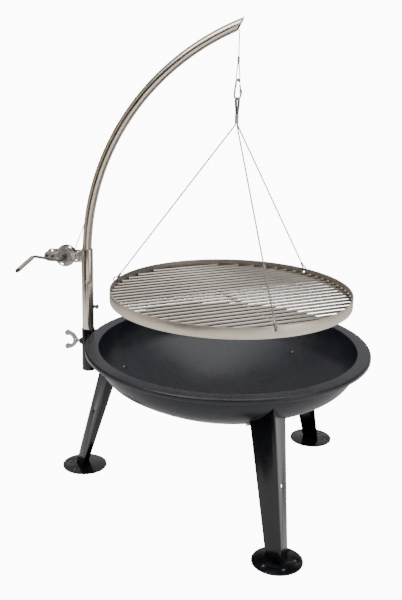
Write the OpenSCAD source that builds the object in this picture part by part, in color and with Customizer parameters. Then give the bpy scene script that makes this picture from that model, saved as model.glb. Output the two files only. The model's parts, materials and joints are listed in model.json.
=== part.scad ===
// Swing grill: a fire bowl on three legs, with a turning gallows post, a hand winch
// and a round grate hung from a wire rope. Millimetres, +Z up, floor at z = 0.
// The arm lies along X, with the post on the -X side of the bowl.

/* [Bowl] */
// Outer diameter of the bowl's rim
rim_d = 800; // [790:2:810]
// Height of the rim's top face above the floor
rim_top = 433; // [428:1:440]
// Width of the flat flange, from the bowl's inside to the rim's edge
flange_w = 38; // [34:1:42]
// Sheet thickness of the bowl and rim
sheet_t = 3; // [2:0.5:4]
// Height of the down-turned lip, top face to lower edge
lip_h = 13; // [11:1:16]
// Outside radius of the rolled edge of the rim
edge_r = 6; // [5:0.5:7]
// Depth of the straight wall below the rim's top face
wall_h = 19; // [16:1:22]
// Outside radius of the knuckle between wall and dished bottom
knuckle_r = 87; // [80:1:92]
// Outside radius of the dished bottom
crown_r = 610; // [590:5:630]

/* [Stand] */
// Turn of the three legs about the bowl's axis, in degrees
leg_yaw = 2.4; // [0:0.2:5]
// Lean of a leg's ridge from the vertical, in degrees
leg_splay = 14; // [13:0.5:15]
// Distance of the ridge's foot from the bowl's axis
leg_foot_r = 460; // [456:1:464]
// Sheet thickness of a leg
leg_t = 3; // [2:0.5:4]
// Outside radius of a leg's fold
leg_fold_r = 5; // [4:0.5:6]
// Flange width of a leg at the foot
leg_w_foot = 41; // [38:1:46]
// Flange width of a leg 384 mm up its ridge
leg_w_top = 70; // [64:1:74]
// Radius of the round hole half way up one flange of each leg
leg_hole_r = 5.5; // [4:0.5:7]
// Distance of the foot plates' centres from the bowl's axis
foot_r = 431; // [428:1:434]
// Diameter of a foot plate
foot_d = 132; // [126:2:140]
// Thickness of a foot plate
foot_t = 4; // [3:0.5:5]
// Distance of the leg bolts from the bowl's axis
bolt_r = 306; // [300:1:310]

/* [Post] */
// Distance of the post's axis from the bowl's axis
post_r = 421; // [420:1:424]
// Outside diameter of the lower post tube
post_d = 33.7; // [33:0.1:34]
// Wall of the lower post tube
post_wall = 2.6; // [2:0.1:3]
// Height of the lower post tube's top end
post_top = 673; // [668:1:680]
// Outside diameter of the socket the post turns in
sleeve_d = 38; // [37.5:0.1:38.6]
// Length of the socket
sleeve_len = 127; // [120:1:132]
// Height of the socket's top end
sleeve_top = 434; // [431:1:437]
// Height of the wing screw's axis
wing_z = 393; // [388:1:398]
// Height from tip to tip of the wing screw's wings
wing_span = 58; // [56:1:62]

/* [Arm] */
// Outside diameter of the bent upper tube
arm_d = 26.9; // [26.5:0.1:27.2]
// Wall of the bent upper tube
arm_wall = 2; // [1.8:0.1:2.2]
// Height at which the bend starts
bend_z = 657; // [650:1:664]
// Bend radius of the tube's centre line
bend_r = 695; // [685:1:705]
// Distance from the post's axis to the hanging rope
reach = 426; // [422:1:430]
// Lean of the cut end of the tube from the vertical, in degrees
tip_cut = 27; // [22:1:30]
// Height of the button-head screw that holds the two tubes together
arm_screw_z = 580; // [574:1:586]
// Height of the peg on the side of the post that faces the bowl
peg_z = 503; // [495:1:512]

/* [Winch] */
// Turn of the winch about the post's axis, in degrees
winch_yaw = 9.5; // [6:0.5:12]
// Distance of the winch axle from the post's axis
axle_u = 62; // [60:1:64]
// Height of the winch axle
axle_z = 651; // [647:1:655]
// Radius of the drum's perforated flanges
flange_r = 30; // [29:0.5:31]
// Radius from axle to the centre line of the rope on the drum
wrap_r = 17.4; // [16.8:0.1:18]
// Diameter of the rod that forms axle, crank arm and handle
rod_d = 8; // [7.8:0.1:8.2]
// Distance from the winch's middle plane to the crank arm
crank_v = 60; // [56:1:66]
// Distance between the axle's and the handle's centre lines
crank_len = 78; // [74:1:82]
// Rise of the crank arm above the horizontal at rest, in degrees
crank_rise = 6.5; // [4:0.5:9]
// Distance from the winch's middle plane to the handle's free end
handle_end = 221; // [214:1:226]
// Outside diameter of the turning grip
grip_d = 12; // [11:0.5:13]

/* [Hanger] */
// Diameter of the hoist rope
rope_d = 3; // [2.6:0.1:3.2]
// Diameter of the three hanger wires
wire_d = 4; // [3.6:0.1:4.2]
// Turn of the rope eye's plane about the rope, in degrees
eye_yaw = -32; // [-40:1:-24]
// Height of the lower end of the rope eye, to the rope's centre line
eye_z = 1157; // [1154:1:1160]
// Height of the lower end of the crimp sleeve that joins the hanger wires
crimp_z = 1047; // [1040:1:1054]

/* [Grate] */
// Outside radius of the grate's ring
ring_r = 336; // [332:1:338]
// Height of the ring's top edge
ring_top = 595; // [592:1:598]
// Height of the ring's flat bar
ring_h = 30; // [28:1:32]
// Thickness of the ring's flat bar
ring_t = 3; // [2.5:0.5:4]
// Diameter of the grate's rods
bar_d = 8; // [7:0.5:9]
// Distance from rod to rod
bar_pitch = 26; // [25:0.2:27]
// Direction of the rods about the vertical, in degrees
bar_yaw = 40; // [30:1:50]
// Diameter of the cross bar under the rods
cross_d = 8; // [7:0.5:9]

/* [Hidden] */
$fn = 48;

// Gaps: between bodies that only pass each other, and in a running fit
gap = 0.3;
run = 0.06;
big = 400;

// Colours
anthracite = [0.24, 0.25, 0.27];
leg_black = [0.07, 0.07, 0.08];
steel = [0.72, 0.68, 0.62];
dark_steel = [0.2, 0.2, 0.21];
rope_grey = [0.55, 0.55, 0.54];
grip_tan = [0.72, 0.68, 0.6];

// Bowl profile: knuckle centre, crown centre, angle where they meet
rim_r = rim_d / 2;
wall_r = rim_r - flange_w + sheet_t;
knuckle_x = wall_r - knuckle_r;
knuckle_z = rim_top - wall_h;
meet_a = asin(knuckle_x / (crown_r - knuckle_r));
crown_z = knuckle_z + (crown_r - knuckle_r) * cos(meet_a);
lip_z = rim_top - lip_h;

// Legs
leg_angles = [180 + leg_yaw, 60 + leg_yaw, -60 + leg_yaw];
leg_w_at = 384;
leg_taper = atan((leg_w_top - leg_w_foot) / leg_w_at);
leg_hole_up = 197;
leg_hole_in = 27;
bolt_a = asin(bolt_r / crown_r);
bolt_shank_r = 4;
bolt_head_r = 8;
bolt_head_h = 4.5;
tab_t = 4;
washer_r = 9;
washer_t = 1.6;
nut_r = 7.5;
nut_h = 6.5;
foot_screw_r = 45;
foot_screw_angles = [-70, 0, 70];
screw_shank_r = 2.5;
screw_head_r = 5;
screw_head_h = 2.8;

// Post and socket
post_x = -post_r;
sleeve_z = sleeve_top - sleeve_len;
plug_t = 4;
post_z = sleeve_z + plug_t + gap;
wing_shank_r = 5;
wing_tip_u = post_d / 2 + 0.35;
wing_base_u = 36;
wing_hub_r = 9;
wing_t = 8;
clamp_nut_r = 10;
clamp_nut_end = sleeve_d / 2 + 6;
bracket_half = 12;
bracket_low = 398;

// Arm: centre of the bend, and the rope's way along the inside of the bend
arm_r = arm_d / 2;
arm_bore = arm_r - arm_wall;
arm_low = 556;
bend_x = post_x + bend_r;
rope_r = rope_d / 2;
rope_arc = bend_r - (arm_bore - rope_r - gap);
rope_turn = 4;
hang_x = post_x + reach;
// the rope turns down over the tube's end: tip_a solves the point where it leaves the arc
tip_a = acos((bend_r - reach + rope_turn * (1 + cos(66.4))) / rope_arc);
tip_x = bend_x - rope_arc * cos(tip_a);
tip_z = bend_z + rope_arc * sin(tip_a);
turn_x = tip_x + rope_turn * cos(tip_a);
turn_z = tip_z - rope_turn * sin(tip_a);
drop_x = turn_x + rope_turn;
rope_leave_a = 20;
leave = [bend_x - rope_arc * cos(rope_leave_a), 0, bend_z + rope_arc * sin(rope_leave_a)];
drop_top = turn_z - 2;
cut_x = tip_x - 0.6;
cut_z = tip_z - rope_r - gap;
peg_u = post_d / 2;
screw_yaw = -68;

// Winch, in its own frame: u outwards along -X, v along -Y, both from the post's axis
leave_x = (leave[0] - post_x) * cos(winch_yaw);
leave_d = sqrt(pow(leave_x + axle_u, 2) + pow(leave[2] - axle_z, 2));
wrap_a = atan2(leave[2] - axle_z, leave_x + axle_u) - acos(wrap_r / leave_d);
wrap_x = -axle_u + wrap_r * cos(wrap_a);
wrap_z = axle_z + wrap_r * sin(wrap_a);
// the rope's straight part stops clear of the coil, between the drum's flanges
rope_free = 12;
free_f = rope_free / leave_d;
rod_r = rod_d / 2;
drum_half = 10;
drum_flange_t = 2;
core_r = wrap_r - rope_r - 0.05;
drum_holes = 8;
drum_hole_r = 4;
drum_hole_at = 22;
cheek_in = 13.5;
cheek_t = 3;
cheek_out = cheek_in + cheek_t;
cheek_half = 15;
cheek_end_u = 107;
web_u = 22;
web_t = 3;
// the inner tie bolt is also the pawl's pivot, so it stands out past the ratchet
tie_u = [97, 114];
tie_over = [4.4, 0];
tie_r = 3;
tie_head_r = 5;
tie_head_h = 3;
spacer_r = 4.5;
window_u = 29.5;
window_r = 3.5;
window_half = 6;
// small holes in both cheeks: distance from the post's axis, height from the axle
cheek_holes = [for (u = [80, 106], side = [-1, 1]) [u, side * 9]];
cheek_hole_r = 2.8;
ratchet_v = cheek_out + 0.6;
ratchet_t = 3;
ratchet_r = 20;
ratchet_root = 17;
ratchet_teeth = 18;
axle_nut_r = 7.5;
axle_nut_h = 6;
crank_bend = 10;
saddle_half = 11.5;
saddle_in = 9;
screw_dz = 9;
grip_v = crank_v + crank_bend + 6;
grip_end = handle_end - 11;
cap_v = grip_end + 0.4;
cap_r = 5.5;
pawl_tip = 14.4;

// Hook and hanger
eye_half = 6.5;
eye_top = eye_z + 48;
ferrule_h = 14;
ferrule_r = 3.6;
drop_low = eye_top + ferrule_h + gap;
hook_r = 2.5;
bow_r = 6.5;
bow_z = eye_z + rope_r + gap + hook_r - bow_r;
hook_bottom_r = 12;
hook_bottom_z = eye_z - 34.5;
gate_z = hook_bottom_z + 5.5;
gate_tip_h = bow_r + 0.7;
gate_tip_z = bow_z - 6.2;
gate_lean = atan2(hook_bottom_r - gate_tip_h, gate_tip_z - gate_z);
gate_len = sqrt(pow(hook_bottom_r - gate_tip_h, 2) + pow(gate_tip_z - gate_z, 2));
gate_r = 2.2;
tongue_half = 1.5;
ear_in = 1.8;
ear_out = 3;
rivet_r = 1;
wire_r = wire_d / 2;
loop_wire_r = 1.7;
loop_half = 6;
loop_foot = 3.2;
loop_z = hook_bottom_z - hook_bottom_r + hook_r + loop_wire_r + 0.1 - loop_half;
crimp_h = 25;
crimp_r = 5.4;
wire_top_r = 2.6;

// Grate
ring_in = ring_r - ring_t;
ring_mid = ring_r - ring_t / 2;
bar_z = ring_top - 18;
cross_z = bar_z - bar_d / 2 - cross_d / 2;
bar_n = floor((ring_in - bar_d) / bar_pitch);
ring_hole_z = ring_top - 9;
ring_hole_r = 4;
eye_bend = 7;
eye_c = [ring_mid, 0, ring_hole_z + ring_hole_r - wire_r - gap + eye_bend];
wire_top = [wire_top_r, 0, crimp_z - 1.4];
wire_dir = (wire_top - eye_c) / norm(wire_top - eye_c);
wire_ferrule_h = 15;
wire_ferrule_r = 3.6;
ferrule_low = eye_c + wire_dir * (eye_bend + wire_r + 0.1);
ferrule_top = ferrule_low + wire_dir * wire_ferrule_h;

// The origin is the middle of the whole part's box, on the floor
knee_u = axle_u + crank_len * cos(crank_rise);
knee_reach = sqrt(pow(sin(winch_yaw), 2) + pow(cos(winch_yaw) * cos(crank_rise), 2));
knee_c = knee_u - crank_bend * cos(crank_rise);
bend_min = post_x - knee_c * cos(winch_yaw) + (crank_v + crank_bend) * sin(winch_yaw)
    - crank_bend * knee_reach - rod_r;
grip_min = post_x - (knee_u + grip_d / 2) * cos(winch_yaw) + grip_v * sin(winch_yaw);
shift_x = -(min(bend_min, grip_min) + rim_r) / 2;
shift_y = -foot_r * (sin(60 + leg_yaw) - sin(60 - leg_yaw)) / 2;

// ---- helpers ----

module placed() {
    translate([shift_x, shift_y, 0]) children();
}

module rod_between(p, q, r) {
    d = q - p;
    len = norm(d);
    translate(p) rotate([0, acos(d[2] / len), atan2(d[1], d[0])]) cylinder(r = r, h = len);
}

// A part of a torus in the XZ plane: centre [x, z], angles counted from +X towards +Z
module bend_xz(x, z, radius, r, a0, a1) {
    translate([x, 0, z]) rotate([90, 0, 0]) rotate([0, 0, a0])
        rotate_extrude(angle = a1 - a0, $fn = 96) translate([radius, 0]) circle(r = r);
}

function unit(v) = v / norm(v);

// A tube with flat sides along a route that stays close to the XZ plane
module rope_along(path, r, sides) {
    last = len(path) - 1;
    ahead = [for (i = [0 : last]) unit(path[min(i + 1, last)] - path[max(i - 1, 0)])];
    points = [for (i = [0 : last]) let (n = unit(cross([0, 1, 0], ahead[i])), b = cross(ahead[i], n))
        for (k = [0 : sides - 1]) path[i] + r * (cos(360 * k / sides) * n + sin(360 * k / sides) * b)];
    walls = [for (i = [0 : last - 1], k = [0 : sides - 1])
        let (a = i * sides + k, b = i * sides + (k + 1) % sides) [a, a + sides, b + sides, b]];
    ends = [[for (k = [0 : sides - 1]) k], [for (k = [sides - 1 : -1 : 0]) last * sides + k]];
    polyhedron(points, concat(walls, ends), convexity = 6);
}

// Frame of leg k: X outwards through the leg, at the bowl's axis
module at_leg(k) {
    rotate([0, 0, leg_angles[k]]) children();
}

// Frame on a leg's ridge: origin at its foot, Z up along the ridge
module on_ridge() {
    translate([leg_foot_r, 0, foot_t]) rotate([0, -leg_splay, 0]) children();
}

// Frame of a leg bolt: origin on the bowl's outside, Z square to the sheet and outwards
module at_bolt() {
    translate([crown_r * sin(bolt_a), 0, crown_z - crown_r * cos(bolt_a)])
        rotate([0, 180 - bolt_a, 0]) children();
}

// Winch frame: origin on the post's axis at axle height, X towards the post from outside
module at_winch() {
    translate([post_x, 0, axle_z]) rotate([0, 0, winch_yaw]) children();
}

// A cylinder along the winch's axle direction, from v0 to v1, at u and dz from the axle height
module along_axle(u, dz, v0, v1, r, sides = 48) {
    translate([-u, -v0, dz]) rotate([90, 0, 0]) cylinder(r = r, h = v1 - v0, $fn = sides);
}

module button_head(r, h) {
    ball = (r * r + h * h) / (2 * h);
    intersection() {
        translate([0, 0, h - ball]) sphere(r = ball);
        cylinder(r = r, h = h + 1);
    }
}

module hang_frame() {
    translate([hang_x, 0, 0]) children();
}

// ---- bowl ----

function arc_pts(x, z, r, a0, a1, n) =
    [for (i = [0 : n]) let (a = a0 + (a1 - a0) * i / n) [x + r * sin(a), z - r * cos(a)]];

// The bowl's curve moved outwards by d, from the straight wall to the middle
function bowl_curve(d) = concat(
    arc_pts(knuckle_x, knuckle_z, knuckle_r + d, 90, meet_a, 14),
    [for (i = [1 : 24]) let (a = meet_a * (1 - i / 24))
        [(crown_r + d) * sin(a), crown_z - (crown_r + d) * cos(a)]]);

module bowl_solid(d) {
    rotate_extrude($fn = 180)
        polygon(concat([[0, rim_top], [wall_r + d, rim_top]], bowl_curve(d)));
}

module fire_bowl() {
    inside = bowl_curve(-sheet_t);
    rim_out = arc_pts(rim_r - edge_r, rim_top - edge_r, edge_r, 180, 90, 6);
    rim_in = arc_pts(rim_r - edge_r, rim_top - edge_r, edge_r - sheet_t, 90, 180, 6);
    color(anthracite) placed() difference() {
        rotate_extrude($fn = 180) polygon(concat(
            [[wall_r - sheet_t, rim_top]], rim_out,
            [[rim_r, lip_z], [rim_r - sheet_t, lip_z]], rim_in,
            [[wall_r, rim_top - sheet_t]], bowl_curve(0),
            [for (i = [len(inside) - 1 : -1 : 0]) inside[i]]));
        for (k = [0 : 2]) at_leg(k) at_bolt()
            translate([0, 0, -sheet_t * 4]) cylinder(r = bolt_shank_r + 0.2, h = sheet_t * 8);
    }
}

// ---- legs ----

// Cross section of a leg: the fold points along +X, the flanges run back at 45 degrees
module leg_section(width) {
    back = leg_fold_r * sqrt(2);
    inner_r = leg_fold_r - leg_t;
    out = (width - leg_fold_r) / sqrt(2);
    outer = [for (a = [-45 : 15 : 45]) [leg_fold_r * cos(a) - back, leg_fold_r * sin(a)]];
    inner = [for (a = [45 : -15 : -45]) [inner_r * cos(a) - back, inner_r * sin(a)]];
    polygon(concat([outer[0] - [out, out]], outer, [outer[6] + [-out, out]],
        [inner[0] + [-out, out]], inner, [inner[6] - [out, out]]));
}

module leg(k) {
    up = 420;
    below = 30;
    tab_in = 18;
    tab_out = 46;
    color(leg_black) placed() at_leg(k) difference() {
        union() {
            on_ridge() difference() {
                translate([0, 0, -below]) linear_extrude(up + below) leg_section(90);
                for (side = [0, 1]) mirror([0, side, 0]) rotate([0, 0, 135])
                    translate([leg_w_foot, -20, 0]) rotate([0, leg_taper, 0])
                    translate([0, 0, -100]) cube([100, 60, 600]);
                rotate([0, 0, 135]) translate([leg_hole_in, -10, leg_hole_up])
                    rotate([-90, 0, 0]) cylinder(r = leg_hole_r, h = 20);
            }
            intersection() {
                at_bolt() translate([-tab_out, -tab_out, gap])
                    cube([tab_in + tab_out, 2 * tab_out, tab_t]);
                on_ridge() translate([0, 0, -below]) linear_extrude(up + below)
                    polygon([[-leg_t, 0], [-tab_out * 2, tab_out * 2 - leg_t],
                        [-tab_out * 2, -tab_out * 2 + leg_t]]);
            }
        }
        bowl_solid(gap);
        translate([0, -big / 2, foot_t - big]) cube([2 * big, big, big]);
        at_bolt() translate([0, 0, -10]) cylinder(r = bolt_shank_r + 0.2, h = 30);
    }
}

module foot_plate(k) {
    color(leg_black) placed() at_leg(k) translate([foot_r, 0, 0]) difference() {
        cylinder(r = foot_d / 2, h = foot_t, $fn = 96);
        for (a = foot_screw_angles) rotate([0, 0, a]) translate([foot_screw_r, 0, -1])
            cylinder(r = screw_shank_r + 0.1, h = foot_t + 2);
    }
}

module foot_screws() {
    color(dark_steel) placed() for (k = [0 : 2], a = foot_screw_angles)
        at_leg(k) translate([foot_r, 0, 0]) rotate([0, 0, a]) translate([foot_screw_r, 0, 0]) {
            translate([0, 0, 0.5]) cylinder(r = screw_shank_r, h = foot_t);
            translate([0, 0, foot_t]) button_head(screw_head_r, screw_head_h);
        }
}

module leg_bolts() {
    color(dark_steel) placed() for (k = [0 : 2]) at_leg(k) at_bolt() mirror([0, 0, 1])
        translate([0, 0, sheet_t + gap]) {
            button_head(bolt_head_r, bolt_head_h);
            translate([0, 0, -sheet_t - tab_t - washer_t - nut_h - 5])
                cylinder(r = bolt_shank_r, h = sheet_t + tab_t + washer_t + nut_h + 5.5);
        }
}

module leg_washers() {
    color(dark_steel) placed() for (k = [0 : 2]) at_leg(k) at_bolt()
        translate([0, 0, tab_t + gap]) difference() {
            cylinder(r = washer_r, h = washer_t);
            translate([0, 0, -1]) cylinder(r = bolt_shank_r + 0.2, h = washer_t + 2);
        }
}

module leg_nuts() {
    color(dark_steel) placed() for (k = [0 : 2]) at_leg(k) at_bolt()
        translate([0, 0, tab_t + gap + washer_t]) difference() {
            cylinder(r = nut_r, h = nut_h, $fn = 6);
            translate([0, 0, -1]) cylinder(r = bolt_shank_r + 0.05, h = nut_h + 2);
        }
}

// ---- socket and its wing screw ----

module post_sleeve() {
    color(leg_black) placed() translate([post_x, 0, sleeve_z]) difference() {
        cylinder(r = sleeve_d / 2, h = sleeve_len, $fn = 72);
        translate([0, 0, plug_t])
            cylinder(r = post_d / 2 + run, h = sleeve_len, $fn = 72);
        translate([0, 0, wing_z - sleeve_z]) rotate([0, -90, 0])
            cylinder(r = wing_shank_r + gap, h = sleeve_d);
    }
}

module sleeve_bracket() {
    color(leg_black) placed() difference() {
        translate([post_x, -bracket_half, bracket_low])
            cube([post_r - wall_r + 20, 2 * bracket_half, rim_top - sheet_t - 1 - bracket_low]);
        translate([post_x, 0, 0]) cylinder(r = sleeve_d / 2 + 0.02, h = rim_top, $fn = 72);
        cylinder(r = wall_r + 0.05, h = rim_top + 1, $fn = 180);
        difference() {
            translate([0, 0, lip_z - gap]) cylinder(r = rim_r + gap, h = lip_h, $fn = 180);
            translate([0, 0, lip_z - 1]) cylinder(r = rim_r - sheet_t - gap, h = lip_h, $fn = 180);
        }
    }
}

module clamp_nut() {
    color(leg_black) placed() difference() {
        translate([post_x, 0, wing_z]) rotate([0, -90, 0])
            cylinder(r = clamp_nut_r, h = clamp_nut_end, $fn = 6);
        translate([post_x, 0, 0]) cylinder(r = sleeve_d / 2 + 0.02, h = rim_top, $fn = 72);
        translate([post_x, 0, wing_z]) rotate([0, -90, 0])
            cylinder(r = wing_shank_r + run, h = clamp_nut_end + 10);
    }
}

// The wings are one flat bow, open away from the post, with a round lobe at each end
module wing_screw() {
    lobe_r = 8;
    lobe_z = wing_span / 2 - lobe_r;
    bow_out = lobe_z + 5;
    bow_u = wing_base_u + bow_out;
    color(steel) placed() translate([post_x, 0, wing_z]) {
        rotate([0, -90, 0]) translate([0, 0, wing_tip_u])
            cylinder(r = wing_shank_r, h = wing_base_u + 3 - wing_tip_u);
        rotate([0, -90, 0]) translate([0, 0, wing_base_u]) cylinder(r = wing_hub_r, h = 8);
        for (side = [-1, 1]) translate([-bow_u - 3, -wing_t / 2, side * lobe_z])
            rotate([-90, 0, 0]) cylinder(r = lobe_r, h = wing_t);
        translate([-bow_u, -wing_t / 2, 0]) rotate([-90, 0, 0]) difference() {
            cylinder(r = bow_out, h = wing_t, $fn = 72);
            translate([0, 0, -1]) cylinder(r = bow_out - 11, h = wing_t + 2, $fn = 72);
            translate([-2 * bow_out - 1, -bow_out - 1, -1])
                cube([2 * bow_out, 2 * bow_out + 2, wing_t + 2]);
        }
    }
}

// ---- post and arm ----

module lower_post() {
    color(steel) placed() difference() {
        translate([post_x, 0, post_z]) cylinder(r = post_d / 2, h = post_top - post_z, $fn = 72);
        translate([post_x, 0, post_z - 1])
            cylinder(r = post_d / 2 - post_wall, h = post_top - post_z + 2, $fn = 72);
        translate([post_x, 0, arm_screw_z]) rotate([0, 90, screw_yaw])
            cylinder(r = screw_shank_r + 0.7, h = post_d);
        translate([post_x, 0, peg_z]) rotate([0, 90, 0]) cylinder(r = 4.1, h = post_d);
    }
}

module gallows_arm() {
    color(steel) placed() difference() {
        union() {
            translate([post_x, 0, arm_low]) difference() {
                cylinder(r = arm_r, h = bend_z - arm_low, $fn = 72);
                translate([0, 0, -1]) cylinder(r = arm_bore, h = bend_z - arm_low + 2, $fn = 72);
            }
            translate([bend_x, 0, bend_z]) mirror([1, 0, 0]) rotate([90, 0, 0])
                rotate_extrude(angle = 72, $fn = 180) translate([bend_r, 0]) difference() {
                    circle(r = arm_r);
                    circle(r = arm_bore);
                }
        }
        translate([cut_x, 0, cut_z]) rotate([0, tip_cut, 0])
            translate([0, -60, -200]) cube([400, 120, 400]);
        // slot for the rope in the side that faces the winch
        at_winch() translate([-arm_r - 8, -6, 45]) cube([26, 12, 74]);
        translate([post_x, 0, arm_screw_z]) rotate([0, 90, screw_yaw])
            cylinder(r = screw_shank_r + 0.7, h = post_d);
    }
}

module arm_screw() {
    color(steel) placed() translate([post_x, 0, arm_screw_z]) rotate([0, 90, screw_yaw]) {
        translate([0, 0, arm_bore - 4]) cylinder(r = screw_shank_r + 0.5, h = post_d / 2 - arm_bore + 5);
        translate([0, 0, post_d / 2 + 0.2]) difference() {
            button_head(6.3, 3.4);
            translate([0, 0, 1.6]) cylinder(r = 2, h = 4, $fn = 6);
        }
    }
}

module tool_peg() {
    color(dark_steel) placed() translate([post_x, 0, peg_z]) rotate([0, 90, 0]) {
        translate([0, 0, peg_u - post_wall - 3]) cylinder(r = 4, h = 16);
        translate([0, 0, peg_u + 8]) cylinder(r = 7.2, h = 7, $fn = 6);
        translate([0, 0, peg_u + 0.3]) cylinder(r = 5.5, h = 3);
    }
}

// ---- winch: what is fixed to the post ----

// The block between post and bracket, hollowed to the post's radius
module winch_saddle() {
    color(steel) placed() at_winch() difference() {
        translate([-web_u, -saddle_half, -cheek_half])
            cube([web_u - saddle_in, 2 * saddle_half, 2 * cheek_half]);
        translate([0, 0, -cheek_half - 1])
            cylinder(r = post_d / 2 + 0.03, h = 2 * cheek_half + 2, $fn = 72);
        for (s = [-1, 1]) translate([-web_u - 1, 0, s * screw_dz])
            rotate([0, 90, 0]) cylinder(r = screw_shank_r + 0.05, h = 4);
    }
}

module cheek_shape(v0) {
    translate([-cheek_end_u, -v0, -cheek_half]) translate([0, -cheek_t, 0])
        cube([cheek_end_u - web_u, cheek_t, 2 * cheek_half]);
    along_axle(cheek_end_u, 0, v0, v0 + cheek_t, cheek_half, 72);
}

module winch_bracket() {
    color(steel) placed() at_winch() difference() {
        union() {
            cheek_shape(cheek_in);
            cheek_shape(-cheek_out);
            translate([-web_u - web_t, -cheek_out, -cheek_half])
                cube([web_t, 2 * cheek_out, 2 * cheek_half]);
        }
        along_axle(axle_u, 0, -30, 30, rod_r + run);
        for (i = [0, 1]) along_axle(tie_u[i], 0, -30, 30, tie_r + 0.05);
        for (s = [-1, 1]) translate([-web_u - web_t - 1, 0, s * screw_dz])
            rotate([0, 90, 0]) cylinder(r = screw_shank_r + 0.1, h = web_t + 2);
        for (h = cheek_holes) along_axle(h[0], h[1], -30, 30, cheek_hole_r);
        along_axle(window_u, window_half, -30, 30, window_r);
        along_axle(window_u, -window_half, -30, 30, window_r);
        translate([-window_u - window_r, -30, -window_half])
            cube([2 * window_r, 60, 2 * window_half]);
    }
}

module bracket_screws() {
    color(dark_steel) placed() at_winch() for (s = [-1, 1]) translate([-web_u - web_t, 0, s * screw_dz])
        rotate([0, -90, 0]) {
            button_head(screw_head_r, screw_head_h);
            translate([0, 0, -web_t - 3]) cylinder(r = screw_shank_r, h = web_t + 3.5);
        }
}

module tie_bolts() {
    color(dark_steel) placed() at_winch() for (i = [0, 1]) {
        out = cheek_out + tie_over[i];
        along_axle(tie_u[i], 0, -cheek_out - 1, out + 1, tie_r);
        along_axle(tie_u[i], 0, out, out + tie_head_h, tie_head_r, 6);
        along_axle(tie_u[i], 0, -cheek_out - tie_head_h, -cheek_out, tie_head_r, 6);
    }
}

module tie_spacers() {
    color(steel) placed() at_winch() for (i = [0, 1]) difference() {
        along_axle(tie_u[i], 0, -cheek_in, cheek_in, spacer_r);
        along_axle(tie_u[i], 0, -30, 30, tie_r + 0.05);
    }
}

// The rope as one tube: up from the drum, along the inside of the bend, down over the end
module hoist_rope() {
    start = [post_x + wrap_x * cos(winch_yaw), wrap_x * sin(winch_yaw), wrap_z];
    arc_steps = 30;
    turn_steps = 6;
    path = concat([start + (leave - start) * free_f],
        [for (i = [0 : arc_steps]) let (a = rope_leave_a + (tip_a - rope_leave_a) * i / arc_steps)
            [bend_x - rope_arc * cos(a), 0, bend_z + rope_arc * sin(a)]],
        [for (i = [1 : turn_steps]) let (a = 180 - tip_a - (180 - tip_a) * i / turn_steps)
            [turn_x + rope_turn * cos(a), 0, turn_z + rope_turn * sin(a)]],
        [[drop_x, 0, drop_top]]);
    color(rope_grey) placed() rope_along(path, rope_r, 8);
}

// ---- winch: what turns ----

module crank_rod() {
    color(dark_steel) placed() at_winch() {
        translate([-axle_u, 0, 0]) rotate([0, crank_rise, 0]) {
            along_axle(0, 0, -26, crank_v - crank_bend, rod_r);
            translate([-crank_bend, -crank_v + crank_bend, 0]) rotate([0, 0, -90])
                rotate_extrude(angle = 90) translate([crank_bend, 0]) circle(r = rod_r);
            translate([-crank_bend, -crank_v, 0]) rotate([0, -90, 0])
                cylinder(r = rod_r, h = crank_len - 2 * crank_bend);
            translate([-crank_len + crank_bend, -crank_v - crank_bend, 0]) rotate([0, 0, 90])
                rotate_extrude(angle = 90) translate([crank_bend, 0]) circle(r = rod_r);
            translate([-crank_len, -crank_v - crank_bend, 0]) rotate([90, 0, 0])
                cylinder(r = rod_r, h = handle_end - 2 - crank_v - crank_bend);
        }
    }
}

module winch_drum() {
    color(steel) placed() at_winch() difference() {
        union() {
            along_axle(axle_u, 0, -drum_half, drum_half, core_r, 72);
            for (v = [-drum_half - drum_flange_t, drum_half])
                along_axle(axle_u, 0, v, v + drum_flange_t, flange_r, 96);
        }
        along_axle(axle_u, 0, -30, 30, rod_r + 0.05);
        for (i = [0 : drum_holes - 1])
            along_axle(axle_u + drum_hole_at * sin(360 * (i + 0.5) / drum_holes),
                drum_hole_at * cos(360 * (i + 0.5) / drum_holes), -30, 30, drum_hole_r);
    }
}

module drum_rope() {
    turns = 3;
    pitch = rope_d - 0.2;
    color(rope_grey) placed() at_winch() translate([-axle_u, 0, 0]) rotate([90, 0, 0]) {
        for (i = [-turns : turns]) translate([0, 0, i * pitch])
            rotate_extrude($fn = 72) translate([wrap_r, 0]) circle(r = rope_r, $fn = 32);
        translate([0, 0, -turns * pitch]) difference() {
            cylinder(r = wrap_r, h = 2 * turns * pitch, $fn = 72);
            translate([0, 0, -1]) cylinder(r = core_r + 0.05, h = 2 * turns * pitch + 2, $fn = 72);
        }
    }
}

module ratchet_wheel() {
    step = 360 / ratchet_teeth;
    color(dark_steel) placed() at_winch() translate([-axle_u, -ratchet_v, 0]) rotate([90, 0, 0])
        difference() {
            linear_extrude(ratchet_t) polygon([for (i = [0 : ratchet_teeth - 1], j = [0, 1])
                let (a = i * step + (j == 0 ? 0 : step * 0.15),
                    r = j == 0 ? ratchet_root : ratchet_r) [r * cos(a), r * sin(a)]]);
            translate([0, 0, -1]) cylinder(r = rod_r + 0.05, h = ratchet_t + 2);
        }
}

module axle_nuts() {
    ends = [ratchet_v + ratchet_t + gap, -cheek_out - 0.6 - axle_nut_h];
    color(dark_steel) placed() at_winch() for (v = ends)
        difference() {
            along_axle(axle_u, 0, v, v + axle_nut_h, axle_nut_r, 6);
            along_axle(axle_u, 0, v - 1, v + axle_nut_h + 1, rod_r + 0.05);
        }
}

module grip_cap() {
    color(dark_steel) placed() at_winch() translate([-axle_u, 0, 0]) rotate([0, crank_rise, 0])
        difference() {
            along_axle(crank_len, 0, cap_v, handle_end, cap_r);
            along_axle(crank_len, 0, cap_v - 1, handle_end - 1.9, rod_r + 0.05);
        }
}

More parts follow.
